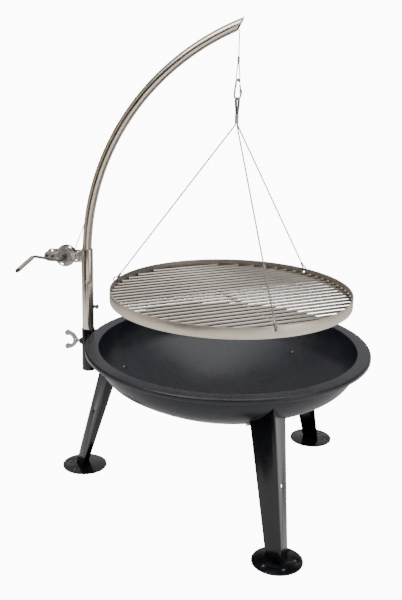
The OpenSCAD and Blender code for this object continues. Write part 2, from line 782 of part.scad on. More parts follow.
module crank_grip() {
    color(grip_tan) placed() at_winch() translate([-axle_u, 0, 0]) rotate([0, crank_rise, 0])
        difference() {
            along_axle(crank_len, 0, grip_v, grip_end, grip_d / 2);
            along_axle(crank_len, 0, grip_v - 1, grip_end + 1, rod_r + run);
        }
}

module ratchet_pawl() {
    color(dark_steel) placed() at_winch() translate([-tie_u[0], -ratchet_v, 0])
        rotate([90, 0, 0]) difference() {
            union() {
                cylinder(r = 5.5, h = ratchet_t);
                linear_extrude(ratchet_t)
                    polygon([[0, -5.5], [0, 5.5], [pawl_tip, 3.2], [pawl_tip, -0.5]]);
                linear_extrude(ratchet_t) polygon([[0, -4], [0, 4], [-9, 7], [-9, 3]]);
            }
            translate([0, 0, -1]) cylinder(r = tie_r + run, h = ratchet_t + 2);
        }
}

// ---- rope end, snap hook and gate ----

module rope_drop() {
    color(rope_grey) placed() translate([drop_x, 0, drop_low])
        cylinder(r = rope_r, h = drop_top - gap - drop_low);
}

module hoist_ferrule() {
    color(steel) placed() hang_frame() translate([0, 0, eye_top]) cylinder(r = ferrule_r, h = ferrule_h);
}

module rope_eye() {
    leg_top = rope_r + 0.1;
    color(rope_grey) placed() hang_frame() rotate([0, 0, eye_yaw]) {
        bend_xz(0, eye_z + eye_half, eye_half, rope_r, 180, 360);
        for (s = [-1, 1]) {
            rod_between([s * eye_half, 0, eye_z + eye_half], [s * leg_top, 0, eye_top - 0.2], rope_r);
            translate([s * eye_half, 0, eye_z + eye_half]) sphere(r = rope_r);
        }
    }
}

module snap_hook() {
    color(steel) placed() hang_frame() rotate([0, 0, eye_yaw + 90]) {
        bend_xz(0, bow_z, bow_r, hook_r, 0, 180);
        bend_xz(0, hook_bottom_z, hook_bottom_r, hook_r, 180, 360);
        rod_between([-bow_r, 0, bow_z], [-hook_bottom_r, 0, hook_bottom_z], hook_r);
        translate([-bow_r, 0, bow_z]) sphere(r = hook_r);
        translate([-hook_bottom_r, 0, hook_bottom_z]) sphere(r = hook_r);
        translate([bow_r, 0, bow_z - 3]) cylinder(r = hook_r, h = 3);
        difference() {
            union() {
                translate([hook_bottom_r - 2.4, -tongue_half, hook_bottom_z - 1])
                    cube([4.8, 2 * tongue_half, gate_z - hook_bottom_z + 1]);
                translate([hook_bottom_r, tongue_half, gate_z]) rotate([90, 0, 0])
                    cylinder(r = 3, h = 2 * tongue_half);
            }
            translate([hook_bottom_r, 10, gate_z]) rotate([90, 0, 0])
                cylinder(r = rivet_r + 0.02, h = 20);
        }
    }
}

module gate_rivet() {
    color(steel) placed() hang_frame() rotate([0, 0, eye_yaw + 90]) translate([hook_bottom_r, 0, gate_z])
        rotate([90, 0, 0]) {
            translate([0, 0, -ear_out - gap]) cylinder(r = rivet_r, h = 2 * (ear_out + gap));
            for (s = [0, 1]) mirror([0, 0, s]) translate([0, 0, ear_out + gap])
                cylinder(r = 1.9, h = 0.7);
        }
}

module snap_hook_gate() {
    block = 4;
    color(steel) placed() hang_frame() rotate([0, 0, eye_yaw + 90])
        translate([hook_bottom_r, 0, gate_z]) rotate([0, -gate_lean, 0]) difference() {
            union() {
                for (s = [0, 1]) mirror([0, s, 0]) {
                    translate([0, ear_out, 0]) rotate([90, 0, 0])
                        cylinder(r = 2.8, h = ear_out - ear_in);
                    translate([-2.2, ear_in, 0]) cube([4.4, ear_out - ear_in, block + 2]);
                }
                translate([-2.2, -ear_out, block]) cube([4.4, 2 * ear_out, 2]);
                translate([0, 0, block + 1]) cylinder(r = gate_r, h = gate_len - block - 1);
            }
            translate([0, 10, 0]) rotate([90, 0, 0]) cylinder(r = rivet_r + run, h = 20);
        }
}

// ---- hanger ----

module hanger_eyes() {
    steps = 16;
    foot = [[loop_foot, 0, crimp_z + crimp_h + 0.2]];
    path = concat([[-loop_foot, 0, crimp_z + crimp_h + 0.2]],
        [for (i = [0 : steps]) let (a = 180 - 180 * i / steps)
            [loop_half * cos(a), 0, loop_z + loop_half * sin(a)]], foot);
    color(rope_grey) placed() hang_frame() for (turn = [-26, 0, 26])
        rotate([0, 0, eye_yaw + turn]) rope_along(path, loop_wire_r, 10);
}

module hanger_crimp() {
    color(steel) placed() hang_frame() translate([0, 0, crimp_z]) cylinder(r = crimp_r, h = crimp_h);
}

module hanger_wire(k) {
    color(rope_grey) placed() hang_frame() rotate([0, 0, leg_angles[k]])
        rod_between(ferrule_top + wire_dir * 0.2, wire_top, wire_r);
}

module wire_ferrules() {
    color(steel) placed() hang_frame() for (a = leg_angles) rotate([0, 0, a])
        rod_between(ferrule_low, ferrule_top, wire_ferrule_r);
}

// The loop at a wire's lower end goes through the hole in the ring and over its edge
module wire_eyes() {
    color(rope_grey) placed() hang_frame() for (a = leg_angles) rotate([0, 0, a])
        translate(eye_c) rotate([90, 0, 0])
        rotate_extrude($fn = 64) translate([eye_bend, 0]) circle(r = wire_r, $fn = 24);
}

// ---- grate ----

module grate_ring() {
    color(steel) placed() hang_frame() difference() {
        translate([0, 0, ring_top - ring_h]) cylinder(r = ring_r, h = ring_h, $fn = 180);
        translate([0, 0, ring_top - ring_h - 1]) cylinder(r = ring_in, h = ring_h + 2, $fn = 180);
        for (a = leg_angles) rotate([0, 0, a]) translate([ring_in - 5, 0, ring_hole_z])
            rotate([0, 90, 0]) cylinder(r = ring_hole_r, h = 20);
    }
}

module grate_rods() {
    color(steel) placed() hang_frame() rotate([0, 0, bar_yaw]) for (i = [-bar_n : bar_n]) {
        y = i * bar_pitch;
        half = sqrt(pow(ring_in - 0.2, 2) - pow(abs(y) + bar_d / 2, 2));
        translate([-half, y, bar_z]) rotate([0, 90, 0]) cylinder(r = bar_d / 2, h = 2 * half);
    }
}

module grate_cross_bar() {
    half = sqrt(pow(ring_in - 0.2, 2) - pow(cross_d / 2, 2));
    color(steel) placed() hang_frame() rotate([0, 0, bar_yaw + 90]) translate([-half, 0, cross_z])
        rotate([0, 90, 0]) cylinder(r = cross_d / 2, h = 2 * half);
}

// ---- assembly ----

fire_bowl();
leg(0);  // leg_1
leg(1);  // leg_2
leg(2);  // leg_3
foot_plate(0);  // foot_plate_1
foot_plate(1);  // foot_plate_2
foot_plate(2);  // foot_plate_3
foot_screws();
leg_bolts();
leg_washers();
leg_nuts();
post_sleeve();
sleeve_bracket();
clamp_nut();
wing_screw();
lower_post();
gallows_arm();
arm_screw();
tool_peg();
winch_saddle();
winch_bracket();
bracket_screws();
tie_bolts();
tie_spacers();
hoist_rope();
crank_rod();
winch_drum();
ratchet_wheel();
axle_nuts();
drum_rope();
grip_cap();
crank_grip();
ratchet_pawl();
rope_drop();
hoist_ferrule();
rope_eye();
snap_hook();
gate_rivet();
snap_hook_gate();
hanger_eyes();
hanger_crimp();
hanger_wire(0);  // hanger_wire_1
hanger_wire(1);  // hanger_wire_2
hanger_wire(2);  // hanger_wire_3
wire_ferrules();
wire_eyes();
grate_ring();
grate_rods();
grate_cross_bar();
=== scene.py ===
import json
import math

import bmesh
import bpy
from mathutils import Matrix, Vector


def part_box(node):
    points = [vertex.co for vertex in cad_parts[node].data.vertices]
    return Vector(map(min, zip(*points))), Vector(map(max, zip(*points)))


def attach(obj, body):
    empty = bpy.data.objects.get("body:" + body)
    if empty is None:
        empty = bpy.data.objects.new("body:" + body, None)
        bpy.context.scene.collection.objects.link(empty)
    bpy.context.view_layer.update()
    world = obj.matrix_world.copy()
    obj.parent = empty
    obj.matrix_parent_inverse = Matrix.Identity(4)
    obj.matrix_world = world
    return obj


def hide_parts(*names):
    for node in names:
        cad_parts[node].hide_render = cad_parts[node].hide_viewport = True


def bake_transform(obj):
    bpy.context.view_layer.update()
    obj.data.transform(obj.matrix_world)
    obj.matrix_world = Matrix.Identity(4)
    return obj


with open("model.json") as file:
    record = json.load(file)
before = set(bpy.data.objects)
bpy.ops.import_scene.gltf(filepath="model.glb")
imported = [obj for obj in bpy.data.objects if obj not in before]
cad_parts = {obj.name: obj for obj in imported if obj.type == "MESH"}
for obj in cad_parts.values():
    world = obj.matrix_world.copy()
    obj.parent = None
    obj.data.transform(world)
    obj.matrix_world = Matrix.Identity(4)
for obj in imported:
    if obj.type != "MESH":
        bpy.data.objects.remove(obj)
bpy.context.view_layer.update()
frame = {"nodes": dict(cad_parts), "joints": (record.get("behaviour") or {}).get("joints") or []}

TAU = 2 * math.pi
UP = Vector((0, 0, 1))
MM = 0.001


# ---- places and sizes, from the frame ----

def middle(node):
    low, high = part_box(node)
    return (low + high) / 2


def joint(name):
    return next(j for j in frame["joints"] if j["name"] == name)


def joint_place(name):
    return Vector(joint(name)["pos_m"])


bowl_low, bowl_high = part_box("fire_bowl")
bowl_axis = Vector((middle("fire_bowl").x, middle("fire_bowl").y, 0))
rim_r = (bowl_high.x - bowl_low.x) / 2
rim_top = bowl_high.z
post_axis = Vector((joint_place("arm_swing").x, joint_place("arm_swing").y, 0))
hang_axis = Vector((joint_place("grate_turn").x, joint_place("grate_turn").y, 0))
ring_low, ring_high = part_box("grate_ring")
ring_r = (ring_high.x - ring_low.x) / 2
ring_top = ring_high.z
ring_t = 3 * MM
ring_hole_drop, ring_hole_r = 9 * MM, 4 * MM
bar_r = 4 * MM
bar_pitch = 26 * MM
bar_angle = math.radians(40)
bar_z = middle("grate_rods").z
leg_angles = [math.radians(a) for a in (182.4, 62.4, -57.6)]
sheet_t = 3 * MM
crown_r = 610 * MM
bolt_circle_r = 306 * MM
socket_r = 19 * MM

arc_r = 695 * MM
arc_centre = Vector((post_axis.x + arc_r, post_axis.y, 657 * MM))
arc_bore = 11.45 * MM

axle = joint_place("crank_turn")
axle_dir = Vector(joint("crank_turn")["axis"]).normalized()
winch_out = axle_dir.cross(UP).normalized()
if winch_out.dot(axle - post_axis) < 0:
    winch_out = -winch_out
rope_r = 1.5 * MM
wrap_r = 17.4 * MM
hanger_r = 2 * MM


# ---- meshes ----

def add_object(name, mesh, body, finish, replaces=(), sharp=35):
    """Links a mesh as a piece that rides on a body, with its material."""
    obj = bpy.data.objects.new(name, mesh)
    bpy.context.scene.collection.objects.link(obj)
    mesh.shade_smooth()
    mesh.set_sharp_from_angle(angle=math.radians(sharp))
    mesh.materials.clear()
    mesh.materials.append(finish)
    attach(obj, body)
    if replaces:
        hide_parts(*replaces)
    return obj


def mesh_from(name, points, faces):
    mesh = bpy.data.meshes.new(name)
    mesh.from_pydata([tuple(p) for p in points], [], faces)
    mesh.update()
    return mesh


class Parts:
    """Collects several closed shapes into one mesh."""

    def __init__(self):
        self.points = []
        self.faces = []

    def add(self, points, faces):
        start = len(self.points)
        self.points += [Vector(p) for p in points]
        self.faces += [[i + start for i in f] for f in faces]

    def mesh(self, name):
        mesh = mesh_from(name, self.points, self.faces)
        bm = bmesh.new()
        bm.from_mesh(mesh)
        bmesh.ops.recalc_face_normals(bm, faces=bm.faces)
        bm.to_mesh(mesh)
        bm.free()
        return mesh


def frames_along(path):
    """A direction and two cross directions at each point of a path, with the least turning."""
    last = len(path) - 1
    out = []
    across = None
    for i in range(last + 1):
        ahead = (path[min(i + 1, last)] - path[max(i - 1, 0)]).normalized()
        if across is None:
            across = ahead.orthogonal().normalized()
        across = (across - ahead * across.dot(ahead)).normalized()
        out.append((ahead, across, ahead.cross(across)))
    return out


def resampled(path, step):
    """The same path with points an even step apart."""
    lengths = [0]
    for a, b in zip(path, path[1:]):
        lengths.append(lengths[-1] + (b - a).length)
    count = max(2, int(lengths[-1] / step))
    out = []
    j = 0
    for i in range(count + 1):
        at = lengths[-1] * i / count
        while j < len(path) - 2 and lengths[j + 1] < at:
            j += 1
        span = lengths[j + 1] - lengths[j]
        t = 0 if span == 0 else (at - lengths[j]) / span
        out.append(path[j].lerp(path[j + 1], t))
    return out


def sweep(parts, path, rings):
    """A tube along a path: rings(i) gives that ring's outline as (across, up) pairs."""
    frames = frames_along(path)
    points = []
    count = 0
    for i, (p, (ahead, a, b)) in enumerate(zip(path, frames)):
        outline = rings(i)
        count = len(outline)
        points += [p + a * x + b * y for x, y in outline]
    faces = []
    for i in range(len(path) - 1):
        for k in range(count):
            j = (k + 1) % count
            faces.append([i * count + k, i * count + j, (i + 1) * count + j, (i + 1) * count + k])
    faces.append(list(range(count))[::-1])
    faces.append([(len(path) - 1) * count + k for k in range(count)])
    parts.add(points, faces)


def circle(r, sides):
    return [(r * math.cos(TAU * k / sides), r * math.sin(TAU * k / sides)) for k in range(sides)]


STRANDS = 6
LOBE = [-30, -20, -10, 0, 10, 20]


def strand_outline(r, turn):
    """Outline of six strands laid round a core, turned by an angle."""
    strand = r / 3
    reach = r - strand
    out = []
    for s in range(STRANDS):
        for degrees in LOBE:
            a = math.radians(degrees)
            far = reach * math.cos(a) + math.sqrt(max(0, strand ** 2 - (reach * math.sin(a)) ** 2))
            b = a + TAU * s / STRANDS + turn
            out.append((far * math.cos(b), far * math.sin(b)))
    return out


def rope(parts, path, r, step):
    """A laid wire rope of six strands along a path, with an outline at every step."""
    lay = 13 * r
    route = resampled(path, step)
    gap = sum((b - a).length for a, b in zip(route, route[1:])) / (len(route) - 1)
    sweep(parts, route, lambda i: strand_outline(r, TAU * i * gap / lay))


def bend(centre, across, up, r, start, end, steps):
    """Points of an arc about centre, angles in degrees from across towards up."""
    out = []
    for i in range(steps + 1):
        a = math.radians(start + (end - start) * i / steps)
        out.append(centre + across * (r * math.cos(a)) + up * (r * math.sin(a)))
    return out


def turned(parts, base, axis, profile):
    """A solid of revolution: profile holds (distance along the axis, radius), ends at radius 0."""
    sides = 48
    across = axis.orthogonal().normalized()
    side = axis.cross(across)
    points = []
    rings = []
    for along, r in profile:
        at = base + axis * along
        if r < 1e-7:
            rings.append([len(points)])
            points.append(at)
            continue
        rings.append(list(range(len(points), len(points) + sides)))
        points += [at + across * x + side * y for x, y in circle(r, sides)]
    faces = []
    for lower, upper in zip(rings, rings[1:]):
        for k in range(sides):
            j = (k + 1) % sides
            if len(lower) == 1 and len(upper) > 1:
                faces.append([lower[0], upper[j], upper[k]])
            elif len(upper) == 1 and len(lower) > 1:
                faces.append([lower[k], lower[j], upper[0]])
            elif len(lower) > 1:
                faces.append([lower[k], lower[j], upper[j], upper[k]])
    parts.add(points, faces)


def bead(parts, path, r):
    """A weld bead: a tube of uneven thickness, a little flattened."""
    flat = 0.7
    route = resampled(path, r * 0.45)
    last = len(route) - 1

    def ring(i):
        swell = 1 + 0.13 * math.sin(i * 1.9) + 0.05 * math.sin(i * 0.61)
        ends = min(1, 0.35 + min(i, last - i) * 0.4)
        size = r * swell * ends
        return [(x, y * flat) for x, y in circle(size, 10)]

    sweep(parts, route, ring)


def thread(parts, base, axis, r, pitch, length):
    """A threaded rod's surface: a helical ridge of that pitch with closed ends."""
    across = axis.orthogonal().normalized()
    side = axis.cross(across)
    sides = 32
    per_turn = 6
    rows = int(length / pitch * per_turn)
    depth = pitch * 0.55
    points = []
    for i in range(rows + 1):
        for k in range(sides):
            phase = (i / per_turn - k / sides) % 1
            ridge = 1 - abs(2 * phase - 1)
            near_end = min(i, rows - i) / per_turn
            size = r - depth * (1 - ridge) - depth * max(0, 0.8 - near_end)
            a = TAU * k / sides
            points.append(base + axis * (length * i / rows)
                          + (across * math.cos(a) + side * math.sin(a)) * size)
    faces = []
    for i in range(rows):
        for k in range(sides):
            j = (k + 1) % sides
            faces.append([i * sides + k, i * sides + j, (i + 1) * sides + j, (i + 1) * sides + k])
    faces.append(list(range(sides))[::-1])
    faces.append([rows * sides + k for k in range(sides)])
    parts.add(points, faces)


def softened(node, body, finish, width, angle=38, segments=2):
    """The CAD node's own shape with its sharp edges broken, in place of the node."""
    mesh = frame["nodes"][node].data.copy()
    mesh.name = node + "_soft"
    bm = bmesh.new()
    bm.from_mesh(mesh)
    bmesh.ops.remove_doubles(bm, verts=bm.verts, dist=2e-6)
    bmesh.ops.dissolve_limit(bm, angle_limit=math.radians(0.6), verts=bm.verts, edges=bm.edges)
    edges = [e for e in bm.edges
             if len(e.link_faces) == 2 and e.calc_face_angle(0) > math.radians(angle)]
    bmesh.ops.bevel(bm, geom=edges, offset=width, offset_type="OFFSET", segments=segments,
                    profile=0.5, affect="EDGES", clamp_overlap=True)
    bmesh.ops.triangulate(bm, faces=[f for f in bm.faces if len(f.verts) > 4])
    bmesh.ops.recalc_face_normals(bm, faces=bm.faces)
    bm.to_mesh(mesh)
    bm.free()
    return add_object(node + "_soft", mesh, body, finish, replaces=[node], sharp=32)


# ---- materials ----

class Shade:
    """A small helper that builds a node material step by step."""

    def __init__(self, name, metallic, roughness, colour):
        self.material = bpy.data.materials.new(name)
        self.material.use_nodes = True
        self.tree = self.material.node_tree
        self.surface = self.tree.nodes["Principled BSDF"]
        self.surface.inputs["Metallic"].default_value = metallic
        self.surface.inputs["Roughness"].default_value = roughness
        self.surface.inputs["Base Color"].default_value = (*colour, 1)
        self.place = self.node("ShaderNodeTexCoord").outputs["Object"]

    def node(self, kind, **settings):
        made = self.tree.nodes.new(kind)
        for key, value in settings.items():
            setattr(made, key, value)
        return made

    def link(self, a, b):
        self.tree.links.new(a, b)

    def stretched(self, scale, turn=(0, 0, 0), source=None):
        mapping = self.node("ShaderNodeMapping")
        mapping.inputs["Scale"].default_value = scale
        mapping.inputs["Rotation"].default_value = turn
        self.link(source or self.place, mapping.inputs["Vector"])
        return mapping.outputs["Vector"]

    def noise(self, scale, detail=3, roughness=0.55, source=None):
        made = self.node("ShaderNodeTexNoise")
        made.inputs["Scale"].default_value = scale
        made.inputs["Detail"].default_value = detail
        made.inputs["Roughness"].default_value = roughness
        self.link(source or self.place, made.inputs["Vector"])
        return made.outputs["Fac"]

    def cells(self, scale):
        made = self.node("ShaderNodeTexVoronoi")
        made.inputs["Scale"].default_value = scale
        self.link(self.place, made.inputs["Vector"])
        return made.outputs["Distance"]

    def ranged(self, value, low, high, to_low, to_high):
        made = self.node("ShaderNodeMapRange")
        made.inputs["From Min"].default_value = low
        made.inputs["From Max"].default_value = high
        made.inputs["To Min"].default_value = to_low
        made.inputs["To Max"].default_value = to_high
        self.link(value, made.inputs["Value"])
        return made.outputs["Result"]

    def math(self, operation, a, b):
        made = self.node("ShaderNodeMath", operation=operation)
        for socket, value in zip(made.inputs, (a, b)):
            if isinstance(value, (int, float)):
                socket.default_value = value
            else:
                self.link(value, socket)
        return made.outputs[0]

    def blend(self, factor, a, b):
        """A colour between two colours, or between a colour and an earlier result."""
        made = self.node("ShaderNodeMix", data_type="RGBA")
        self.link(factor, made.inputs["Factor"])
        for socket, value in ((made.inputs[6], a), (made.inputs[7], b)):
            if isinstance(value, tuple):
                socket.default_value = (*value, 1)
            else:
                self.link(value, socket)
        return made.outputs[2]

    def colour(self, value):
        self.link(value, self.surface.inputs["Base Color"])

    def roughness(self, value):
        self.link(value, self.surface.inputs["Roughness"])

    def bump(self, height, distance, under=None):
        made = self.node("ShaderNodeBump")
        made.inputs["Strength"].default_value = 1.0
        made.inputs["Distance"].default_value = distance
        self.link(height, made.inputs["Height"])
        if under:
            self.link(under, made.inputs["Normal"])
        self.link(made.outputs["Normal"], self.surface.inputs["Normal"])
        return made.outputs["Normal"]

    def polar(self, centre, horizontal):
        """Coordinates round a centre: radius, angle and the third direction."""
        shift = self.node("ShaderNodeVectorMath", operation="SUBTRACT")
        shift.inputs[1].default_value = centre
        self.link(self.place, shift.inputs[0])
        split = self.node("ShaderNodeSeparateXYZ")
        self.link(shift.outputs[0], split.inputs[0])
        a, b, c = (0, 1, 2) if horizontal else (0, 2, 1)
        angle = self.math("ARCTAN2", split.outputs[b], split.outputs[a])
        square = self.math("ADD", self.math("MULTIPLY", split.outputs[a], split.outputs[a]),
                           self.math("MULTIPLY", split.outputs[b], split.outputs[b]))
        radius = self.math("SQRT", square, 0)
        join = self.node("ShaderNodeCombineXYZ")
        self.link(radius, join.inputs[0])
        self.link(angle, join.inputs[1])
        self.link(split.outputs[c], join.inputs[2])
        return join.outputs[0]


def lacquer(name, colour, rough, speckle, peel):
    """Baked paint: fine orange peel, speckles in the pigment, rubbed and dusty patches."""
    s = Shade(name, 0, rough, colour)
    patches = s.noise(9, 4)
    grain = s.noise(900, 2)
    lighter = tuple(c * 1.4 + 0.0008 for c in colour)
    darker = tuple(c * 0.78 for c in colour)
    tone = s.blend(s.ranged(patches, 0.3, 0.7, 0, 1), darker, lighter)
    flecks = s.ranged(s.cells(1100), 0.0, 0.22, speckle, 0)
    tone = s.blend(flecks, tone, tuple(c * 3 + 0.006 for c in colour))
    dust = s.ranged(s.noise(30, 5, 0.65), 0.56, 0.8, 0, 0.16)
    s.colour(s.blend(dust, tone, tuple(c * 2 + 0.005 for c in colour)))
    s.roughness(s.math("ADD", s.ranged(patches, 0.3, 0.7, rough - 0.06, rough + 0.06),
                       s.ranged(grain, 0.3, 0.7, -0.04, 0.04)))
    under = s.bump(s.noise(320, 2), peel)
    s.bump(grain, peel * 0.35, under)
    return s


def metal(name, colour, tint, rough, coordinate, scratches, wear=0.1):
    """Bare steel with its grain along one direction, smudges, and fine scratches."""
    s = Shade(name, 1, rough, colour)
    along = coordinate(s)
    grain = s.noise(1, 3, 0.6, along)
    fine = s.noise(3.1, 2, 0.5, along)
    smudge = s.noise(14, 4, 0.6)
    warm = s.noise(5.5, 3)
    tone = s.blend(s.ranged(warm, 0.35, 0.65, 0, 1), colour, tint)
    shade = tuple(c * (1 - 2.4 * wear) for c in colour)
    tone = s.blend(s.ranged(grain, 0.42, 0.66, 0, 0.55), tone, shade)
    s.colour(tone)
    s.roughness(s.math("ADD", s.ranged(smudge, 0.35, 0.7, rough, rough + wear),
                       s.ranged(fine, 0.3, 0.7, -0.03, 0.04)))
    under = s.bump(grain, scratches)
    s.bump(fine, scratches * 0.4, under)
    return s


def straight_grain(scale, turn=(0, 0, 0)):
    return lambda s: s.stretched(scale, turn)


def round_grain(centre, horizontal, scale):
    return lambda s: s.stretched(scale, source=s.polar(centre, horizontal))


def make_materials():
    m = {}
    m["bowl"] = lacquer("bowl_paint", (0.0100, 0.0110, 0.0170),
                       rough=0.31, speckle=0.06, peel=0.00012)
    m["bowl"].surface.inputs["Specular IOR Level"].default_value = 0.38
    m["leg"] = lacquer("leg_paint", (0.0020, 0.0023, 0.0038),
                      rough=0.20, speckle=0.03, peel=0.00008)
    m["leg"].surface.inputs["Specular IOR Level"].default_value = 0.36
    m["leg"].surface.inputs["Coat Weight"].default_value = 0.15
    m["leg"].surface.inputs["Coat Roughness"].default_value = 0.12
    warm, pale = (0.66, 0.57, 0.465), (0.71, 0.645, 0.56)
    m["post"] = metal("post_steel", warm, pale,
                      rough=0.17, scratches=0.00002,
                      coordinate=straight_grain((900, 900, 14)))
    m["arm"] = metal("arm_steel", warm, pale,
                     rough=0.17, scratches=0.00002,
                     coordinate=round_grain(tuple(arc_centre), False, (900, 14, 900)))
    m["ring"] = metal("ring_steel", (0.66, 0.575, 0.465), (0.71, 0.64, 0.54),
                      rough=0.30, scratches=0.00003, wear=0.13,
                      coordinate=round_grain(tuple(hang_axis), True, (900, 6, 900)))
    m["rods"] = metal("rod_steel", (0.44, 0.40, 0.35), (0.51, 0.47, 0.42),
                      rough=0.27, scratches=0.00003, wear=0.12,
                      coordinate=straight_grain((12, 900, 900), (0, 0, -bar_angle)))
    m["plate"] = metal("plate_steel", (0.52, 0.48, 0.43), (0.60, 0.57, 0.53),
                       rough=0.28, scratches=0.00003, wear=0.16,
                       coordinate=straight_grain((120, 700, 700)))
    m["dark"] = metal("dark_steel", (0.10, 0.095, 0.09), (0.17, 0.155, 0.14),
                      rough=0.33, scratches=0.00004, wear=0.16,
                      coordinate=straight_grain((300, 300, 300)))
    m["zinc"] = metal("zinc_plate", (0.50, 0.49, 0.47), (0.60, 0.60, 0.60),
                      rough=0.3, scratches=0.00003, wear=0.15,
                      coordinate=straight_grain((260, 260, 260)))
    m["cast"] = metal("cast_zinc", (0.42, 0.40, 0.37), (0.52, 0.50, 0.47),
                      rough=0.5, scratches=0.00010, wear=0.12,
                      coordinate=straight_grain((420, 420, 420)))
    m["rope"] = metal("rope_wire", (0.25, 0.245, 0.235), (0.35, 0.345, 0.335),
                      rough=0.36, scratches=0.00002, wear=0.18,
                      coordinate=straight_grain((700, 700, 700)))
    m["crimp"] = metal("crimp_metal", (0.44, 0.43, 0.42), (0.54, 0.53, 0.52),
                       rough=0.38, scratches=0.00004, wear=0.14,
                       coordinate=straight_grain((350, 350, 350)))
    # painted shade: a darker, rougher copy of the ring steel, put on the ring faces that face its
    # axis
    m["inside"] = metal("ring_inside_painted_shade", (0.27, 0.24, 0.21), (0.36, 0.33, 0.29),
                        rough=0.42, scratches=0.00003, wear=0.13,
                        coordinate=round_grain(tuple(hang_axis), True, (900, 6, 900)))
    m["ratchet"] = metal("ratchet_steel", (0.30, 0.285, 0.265), (0.38, 0.36, 0.34),
                         rough=0.34, scratches=0.00004, wear=0.15,
                         coordinate=straight_grain((300, 300, 300)))
    m["weld"] = metal("weld_metal", (0.66, 0.60, 0.53), (0.42, 0.40, 0.42),
                      rough=0.28, scratches=0.00006, wear=0.2,
                      coordinate=straight_grain((500, 500, 500)))
    m["grip"] = metal("grip_steel", (0.58, 0.52, 0.45), (0.64, 0.60, 0.54),
                      rough=0.4, scratches=0.00004, wear=0.14,
                      coordinate=straight_grain((500, 40, 500)))
    return {key: shade.material for key, shade in m.items()}


mat = make_materials()


# ---- bowl, legs and feet ----

def build_bowl():
    """The pressed bowl as one smooth turned sheet, with its rolled rim."""
    flange, edge, lip = 38 * MM, 6 * MM, 13 * MM
    wall_r = rim_r - flange + sheet_t
    knuckle_r, knuckle_drop = 87 * MM, 19 * MM
    knuckle_x, knuckle_z = wall_r - knuckle_r, rim_top - knuckle_drop
    meet = math.asin(knuckle_x / (crown_r - knuckle_r))
    crown_z = knuckle_z + (crown_r - knuckle_r) * math.cos(meet)

    def curve(d):
        """The dish in section, set out by d: the arc under the rim, then the crown's."""
        knuckle_steps, crown_steps = 28, 40
        out = []
        for i in range(knuckle_steps + 1):
            a = math.pi / 2 + (meet - math.pi / 2) * i / knuckle_steps
            out.append((knuckle_x + (knuckle_r + d) * math.sin(a),
                        knuckle_z - (knuckle_r + d) * math.cos(a)))
        for i in range(1, crown_steps):
            a = meet * (1 - i / crown_steps)
            out.append(((crown_r + d) * math.sin(a), crown_z - (crown_r + d) * math.cos(a)))
        return out

    def roll(r, x, z, start, end):
        """A rounded corner in section, in eight steps."""
        angles = [math.radians(start + (end - start) * i / 8) for i in range(9)]
        return [(x + r * math.sin(a), z - r * math.cos(a)) for a in angles]

    inside = curve(-sheet_t)
    mouth = inside[0][0]
    fold, corner, fillet = 2.2 * MM, 0.8 * MM, 1.5 * MM
    outline = roll(fold, mouth + fold, rim_top - fold, -90, -180)
    outline += roll(edge, rim_r - edge, rim_top - edge, 180, 90)
    outline += [(rim_r, rim_top - lip + corner), (rim_r - corner, rim_top - lip),
                (rim_r - sheet_t + corner, rim_top - lip),
                (rim_r - sheet_t, rim_top - lip + corner)]
    outline += roll(edge - sheet_t, rim_r - edge, rim_top - edge, 90, 180)
    outline += [(wall_r + fillet, rim_top - sheet_t), (wall_r, rim_top - sheet_t - fillet)]
    outline += curve(0)
    sides = 288
    points = []
    for k in range(sides):
        a = TAU * k / sides
        for r, z in outline + inside[::-1]:
            points.append((bowl_axis.x + r * math.cos(a), bowl_axis.y + r * math.sin(a), z))
    n = len(outline) + len(inside)
    low_outer, low_inner = len(points), len(points) + 1
    points.append((bowl_axis.x, bowl_axis.y, crown_z - crown_r))
    points.append((bowl_axis.x, bowl_axis.y, crown_z - crown_r + sheet_t))
    faces = []
    for k in range(sides):
        j = (k + 1) % sides
        for i in range(n):
            m = (i + 1) % n
            if i == len(outline) - 1:
                faces.append([k * n + i, j * n + i, low_outer])
                faces.append([j * n + m, k * n + m, low_inner])
            else:
                faces.append([k * n + i, j * n + i, j * n + m, k * n + m])
    add_object("bowl_pressing", mesh_from("bowl_pressing", points, faces), "stand", mat["bowl"],
               replaces=["fire_bowl"], sharp=60)


def build_stand():
    build_bowl()
    for i in (1, 2, 3):
        softened(f"leg_{i}", "stand", mat["leg"], 0.5 * MM)
        softened(f"foot_plate_{i}", "stand", mat["leg"], 0.7 * MM, segments=3)
    for node, width in (("post_sleeve", 0.5), ("sleeve_bracket", 0.5), ("clamp_nut", 0.6)):
        softened(node, "stand", mat["leg"], width * MM)
    for node in ("leg_washers", "leg_nuts"):
        softened(node, "stand", mat["zinc"], 0.3 * MM)
    softened("foot_screws", "stand", mat["dark"], 0.3 * MM)
    softened("leg_bolts", "stand", mat["dark"], 0.3 * MM)


build_stand()


# ---- camera, floor, boards and light ----

HEADING = math.radians(14.975)
PITCH = math.radians(16.87)
ROLL = math.radians(1.31)
LENS = 55.366
CAMERA_FROM_BOWL = Vector((0.5590, -2.3918, 1.3058))
FLOOR_TO_CAMERA = 11.0
WORLD_TO_CAMERA = 11.4
WORLD_LIGHT, WORLD_IN_REFLECTIONS = 0.62, 0.40


